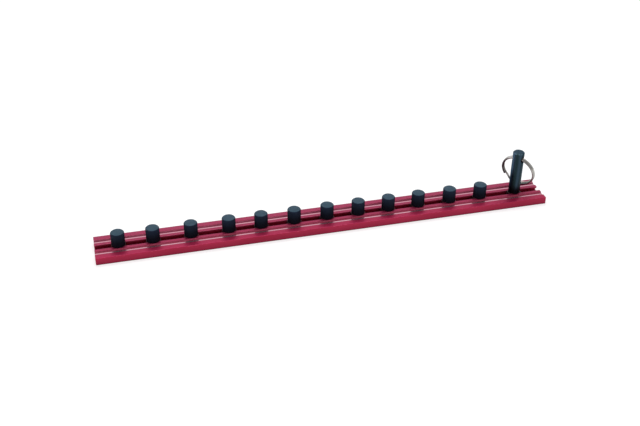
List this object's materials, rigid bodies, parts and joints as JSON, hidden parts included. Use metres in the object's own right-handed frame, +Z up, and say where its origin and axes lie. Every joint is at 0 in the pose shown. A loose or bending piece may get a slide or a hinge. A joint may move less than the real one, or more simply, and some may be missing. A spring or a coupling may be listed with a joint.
{
  "type": "socket rail",
  "caption": "Slotted aluminium rail with ribbed posts that slide along it to hold drive sockets, and a taller steel post with a split ring at one end for hanging.",
  "frame": {"origin": "middle of the rail's length and width, on its flat underside", "axes": "+X along the rail towards the hanging post, +Y across the rail towards the back, +Z up"},
  "size_m": [0.3302, 0.0274, 0.0394],
  "materials": {
    "red_anodised": "satin red anodised, bare bright groove floors",
    "black_moulding": "satin black nylon, ribbed",
    "brass": "turned",
    "zinc_steel": "bright zinc plated",
    "black_oxide_steel": "black oxide, on drawn rod and milled feet",
    "nickel_wire": "nickel plated spring wire"
  },
  "bodies": {
    "rail_body": {"rail": "red_anodised"},
    "post_01_slider": {"post_01_cap": "black_moulding", "post_01_insert": "brass", "post_01_screw": "zinc_steel", "post_01_foot": "black_oxide_steel"},
    "post_02_slider": {"post_02_cap": "black_moulding", "post_02_insert": "brass", "post_02_screw": "zinc_steel", "post_02_foot": "black_oxide_steel"},
    "post_03_slider": {"post_03_cap": "black_moulding", "post_03_insert": "brass", "post_03_screw": "zinc_steel", "post_03_foot": "black_oxide_steel"},
    "post_04_slider": {"post_04_cap": "black_moulding", "post_04_insert": "brass", "post_04_screw": "zinc_steel", "post_04_foot": "black_oxide_steel"},
    "post_05_slider": {"post_05_cap": "black_moulding", "post_05_insert": "brass", "post_05_screw": "zinc_steel", "post_05_foot": "black_oxide_steel"},
    "post_06_slider": {"post_06_cap": "black_moulding", "post_06_insert": "brass", "post_06_screw": "zinc_steel", "post_06_foot": "black_oxide_steel"},
    "post_07_slider": {"post_07_cap": "black_moulding", "post_07_insert": "brass", "post_07_screw": "zinc_steel", "post_07_foot": "black_oxide_steel"},
    "post_08_slider": {"post_08_cap": "black_moulding", "post_08_insert": "brass", "post_08_screw": "zinc_steel", "post_08_foot": "black_oxide_steel"},
    "post_09_slider": {"post_09_cap": "black_moulding", "post_09_insert": "brass", "post_09_screw": "zinc_steel", "post_09_foot": "black_oxide_steel"},
    "post_10_slider": {"post_10_cap": "black_moulding", "post_10_insert": "brass", "post_10_screw": "zinc_steel", "post_10_foot": "black_oxide_steel"},
    "post_11_slider": {"post_11_cap": "black_moulding", "post_11_insert": "brass", "post_11_screw": "zinc_steel", "post_11_foot": "black_oxide_steel"},
    "post_12_slider": {"post_12_cap": "black_moulding", "post_12_insert": "brass", "post_12_screw": "zinc_steel", "post_12_foot": "black_oxide_steel"},
    "hang_post_slider": {"hang_post": "black_oxide_steel", "hang_post_screw": "zinc_steel", "hang_post_foot": "black_oxide_steel"},
    "ring_body": {"split_ring": "nickel_wire"}
  },
  "joints": [
    {"name": "post_01_slide", "type": "slide", "parent": "rail_body", "child": "post_01_slider", "axis": [1, 0, 0], "range_m": [-0.01131, 0.00669]},
    {"name": "post_02_slide", "type": "slide", "parent": "rail_body", "child": "post_02_slider", "axis": [1, 0, 0], "range_m": [-0.00669, 0.00799]},
    {"name": "post_03_slide", "type": "slide", "parent": "rail_body", "child": "post_03_slider", "axis": [1, 0, 0], "range_m": [-0.00799, 0.00814]},
    {"name": "post_04_slide", "type": "slide", "parent": "rail_body", "child": "post_04_slider", "axis": [1, 0, 0], "range_m": [-0.00814, 0.00634]},
    {"name": "post_05_slide", "type": "slide", "parent": "rail_body", "child": "post_05_slider", "axis": [1, 0, 0], "range_m": [-0.00634, 0.00679]},
    {"name": "post_06_slide", "type": "slide", "parent": "rail_body", "child": "post_06_slider", "axis": [1, 0, 0], "range_m": [-0.00679, 0.00692]},
    {"name": "post_07_slide", "type": "slide", "parent": "rail_body", "child": "post_07_slider", "axis": [1, 0, 0], "range_m": [-0.00692, 0.00641]},
    {"name": "post_08_slide", "type": "slide", "parent": "rail_body", "child": "post_08_slider", "axis": [1, 0, 0], "range_m": [-0.00641, 0.00622]},
    {"name": "post_09_slide", "type": "slide", "parent": "rail_body", "child": "post_09_slider", "axis": [1, 0, 0], "range_m": [-0.00622, 0.00627]},
    {"name": "post_10_slide", "type": "slide", "parent": "rail_body", "child": "post_10_slider", "axis": [1, 0, 0], "range_m": [-0.00627, 0.00695]},
    {"name": "post_11_slide", "type": "slide", "parent": "rail_body", "child": "post_11_slider", "axis": [1, 0, 0], "range_m": [-0.00695, 0.00692]},
    {"name": "post_12_slide", "type": "slide", "parent": "rail_body", "child": "post_12_slider", "axis": [1, 0, 0], "range_m": [-0.00692, 0.0046]},
    {"name": "hang_post_slide", "type": "slide", "parent": "rail_body", "child": "hang_post_slider", "axis": [1, 0, 0], "range_m": [-0.003, 0.01491]},
    {"name": "ring_swing", "type": "hinge", "parent": "hang_post_slider", "child": "ring_body", "pos_m": [0.14499, 0, 0.0343], "axis": [0.6428, -0.766, 0], "range_deg": [0, 330]}
  ]
}
